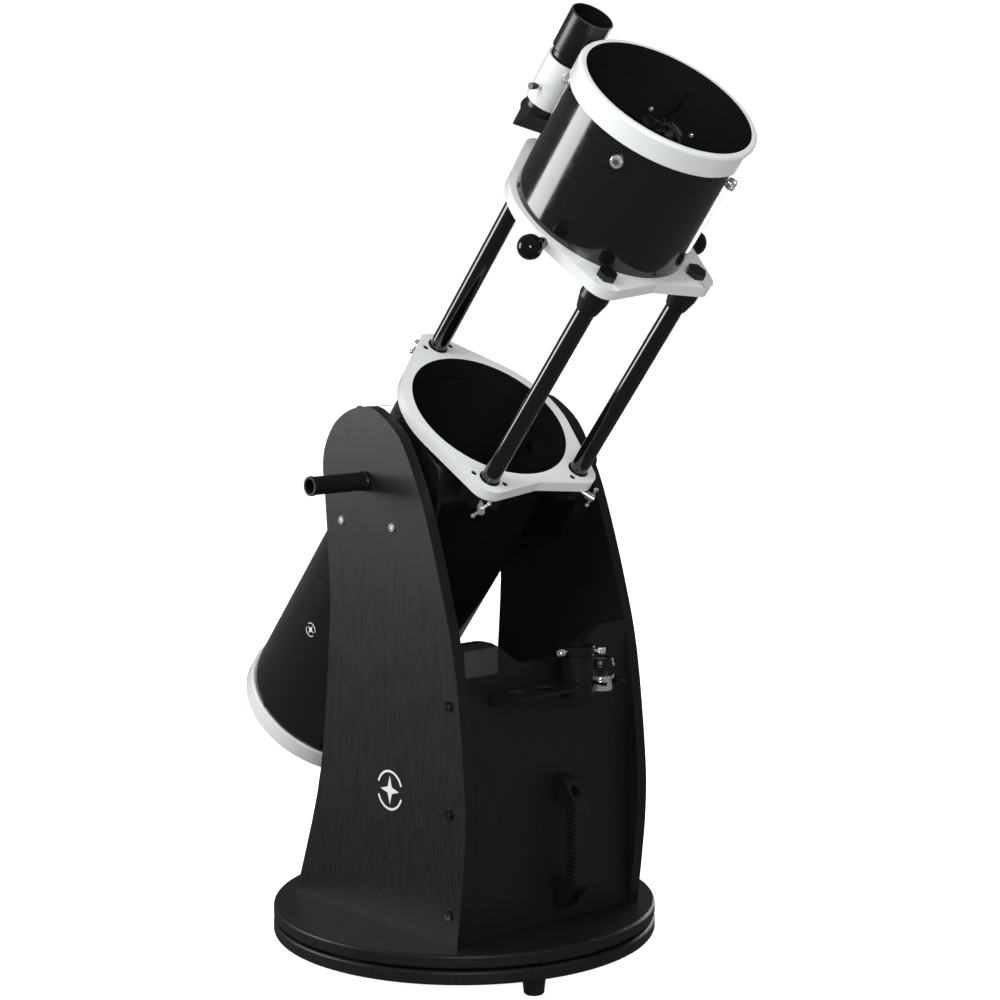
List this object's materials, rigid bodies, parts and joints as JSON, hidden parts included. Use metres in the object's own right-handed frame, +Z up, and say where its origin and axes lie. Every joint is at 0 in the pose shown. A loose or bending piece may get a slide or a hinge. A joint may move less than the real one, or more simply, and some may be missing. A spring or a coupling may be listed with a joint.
{
  "type": "dobsonian telescope",
  "caption": "Collapsible three-strut Newtonian reflector tube on a rocker-box base, with finder, focuser, tension handles and an eyepiece rack.",
  "frame": {"origin": "on the floor, on the azimuth axis", "axes": "+Z up; the tube leans towards -Y at rest; +X is the right side board"},
  "size_m": [0.51, 0.877, 1.2462],
  "materials": {
    "board_black": "black wood-grain laminate, satin",
    "tube_black": "black gloss with a fine metallic fleck",
    "cast_white": "white gloss powder coat",
    "gloss_black": "black gloss",
    "satin_black": "black satin anodised",
    "plastic_black": "black moulded plastic",
    "gloss_plastic_black": "polished black plastic",
    "nylon_white": "white nylon",
    "bright_steel": "bright chrome",
    "zinc_steel": "zinc plated",
    "grey_metal": "satin aluminium",
    "mirror_silver": "aluminised first-surface mirror",
    "lens_glass": "coated glass"
  },
  "bodies": {
    "ground": {"ground_board": "board_black", "feet": "plastic_black", "azimuth_pads": "nylon_white", "pivot_bolt": "zinc_steel"},
    "rocker": {"turntable_board": "board_black", "pivot_bush": "nylon_white", "side_board_left": "board_black", "side_board_right": "board_black", "front_board": "board_black", "cradle_pads": "nylon_white", "cradle_screws": "bright_steel", "board_screws": "gloss_black", "carry_handle": "plastic_black", "carry_handle_screws": "zinc_steel", "eyepiece_tray": "satin_black"},
    "tube": {"lower_tube": "tube_black", "rear_ring": "cast_white", "rear_plate": "grey_metal", "mirror_cell": "grey_metal", "primary_mirror": "mirror_silver", "cell_springs": "zinc_steel", "rear_screws": "gloss_black", "lower_truss_ring": "cast_white", "ring_screws": "gloss_black", "strut_bushes": "plastic_black", "altitude_bearings": "plastic_black", "bearing_bolts": "zinc_steel"},
    "clamp_a": {"clamp_screw_a": "bright_steel"},
    "clamp_b": {"clamp_screw_b": "bright_steel"},
    "clamp_c": {"clamp_screw_c": "bright_steel"},
    "handle_left": {"tension_handle_left": "plastic_black"},
    "handle_right": {"tension_handle_right": "plastic_black"},
    "knob_1": {"collimation_knob_1": "grey_metal"},
    "knob_2": {"collimation_knob_2": "grey_metal"},
    "knob_3": {"collimation_knob_3": "grey_metal"},
    "upper": {"truss_struts": "gloss_black", "strut_collars": "plastic_black", "upper_truss_ring": "cast_white", "hex_caps": "plastic_black", "ball_knobs": "gloss_plastic_black", "upper_tube": "tube_black", "top_ring": "cast_white", "tube_screws": "gloss_black", "spider": "satin_black", "spider_nuts": "bright_steel", "secondary_holder": "satin_black", "secondary_mirror": "mirror_silver", "focuser_body": "satin_black", "finder_shoe": "plastic_black"},
    "drawtube_body": {"drawtube": "grey_metal"},
    "drawtube_lock": {"drawtube_screw": "bright_steel"},
    "focus_shaft": {"focus_knobs": "grey_metal"},
    "finder": {"finder_bracket": "cast_white", "finder_tube": "satin_black", "dew_shield": "satin_black", "finder_lens": "lens_glass", "finder_screws": "plastic_black"},
    "adapter_body": {"adapter": "satin_black", "adapter_screws": "bright_steel"},
    "eyepiece_body": {"eyepiece": "satin_black"}
  },
  "joints": [
    {"name": "azimuth", "type": "hinge", "parent": "ground", "child": "rocker", "pos_m": [0, 0, 0.055], "axis": [0, 0, 1], "continuous": true},
    {"name": "altitude", "type": "hinge", "parent": "rocker", "child": "tube", "pos_m": [0, 0.0144, 0.6315], "axis": [-1, 0, 0], "range_deg": [-51, 39]},
    {"name": "truss_slide", "type": "slide", "parent": "tube", "child": "upper", "axis": [0, -0.6293, 0.7771], "range_m": [-0.27, 0]},
    {"name": "clamp_a_turn", "type": "hinge", "parent": "tube", "child": "clamp_a", "pos_m": [0, 0.09043, 0.79344], "axis": [0, 0.7771, 0.6293], "range_deg": [-180, 180]},
    {"name": "clamp_b_turn", "type": "hinge", "parent": "tube", "child": "clamp_b", "pos_m": [-0.09119, -0.1378, 0.60862], "axis": [-0.5664, -0.6405, -0.5186], "range_deg": [-180, 180]},
    {"name": "clamp_c_turn", "type": "hinge", "parent": "tube", "child": "clamp_c", "pos_m": [0.09119, -0.1378, 0.60862], "axis": [0.5664, -0.6405, -0.5186], "range_deg": [-180, 180]},
    {"name": "tension_left_turn", "type": "hinge", "parent": "tube", "child": "handle_left", "pos_m": [-0.2, 0.0144, 0.6315], "axis": [-1, 0, 0], "range_deg": [-90, 90]},
    {"name": "tension_right_turn", "type": "hinge", "parent": "tube", "child": "handle_right", "pos_m": [0.2, 0.0144, 0.6315], "axis": [1, 0, 0], "range_deg": [-90, 90]},
    {"name": "collimation_1_turn", "type": "hinge", "parent": "tube", "child": "knob_1", "pos_m": [0.039, 0.36142, 0.31031], "axis": [0, -0.6293, 0.7771], "range_deg": [-180, 180]},
    {"name": "collimation_2_turn", "type": "hinge", "parent": "tube", "child": "knob_2", "pos_m": [0.039, 0.25643, 0.22529], "axis": [0, -0.6293, 0.7771], "range_deg": [-180, 180]},
    {"name": "collimation_3_turn", "type": "hinge", "parent": "tube", "child": "knob_3", "pos_m": [-0.078, 0.30892, 0.2678], "axis": [0, -0.6293, 0.7771], "range_deg": [-180, 180]},
    {"name": "drawtube_slide", "type": "slide", "parent": "upper", "child": "drawtube_body", "axis": [0.8704, 0.3827, 0.3099], "range_m": [0, 0.035]},
    {"name": "focus_knob_turn", "type": "hinge", "parent": "upper", "child": "focus_shaft", "pos_m": [0.12707, -0.23684, 1.05599], "axis": [0.4924, -0.6764, -0.5477], "range_deg": [0, 668.45]},
    {"name": "drawtube_lock_turn", "type": "hinge", "parent": "drawtube_body", "child": "drawtube_lock", "pos_m": [0.16189, -0.24167, 1.09326], "axis": [0.4924, -0.6764, -0.5477], "range_deg": [-180, 180]},
    {"name": "finder_slide", "type": "slide", "parent": "upper", "child": "finder", "axis": [0, -0.6293, 0.7771], "range_m": [0, 0.05]},
    {"name": "adapter_slide", "type": "slide", "parent": "rocker", "child": "adapter_body", "axis": [0, -1, 0], "range_m": [0, 0.06]},
    {"name": "eyepiece_lift", "type": "slide", "parent": "rocker", "child": "eyepiece_body", "axis": [0, 0, 1], "range_m": [0, 0.05]}
  ],
  "couplings": [
    {"joint": "focus_knob_turn", "follows": "drawtube_slide", "rad_per_m": 333.33}
  ]
}
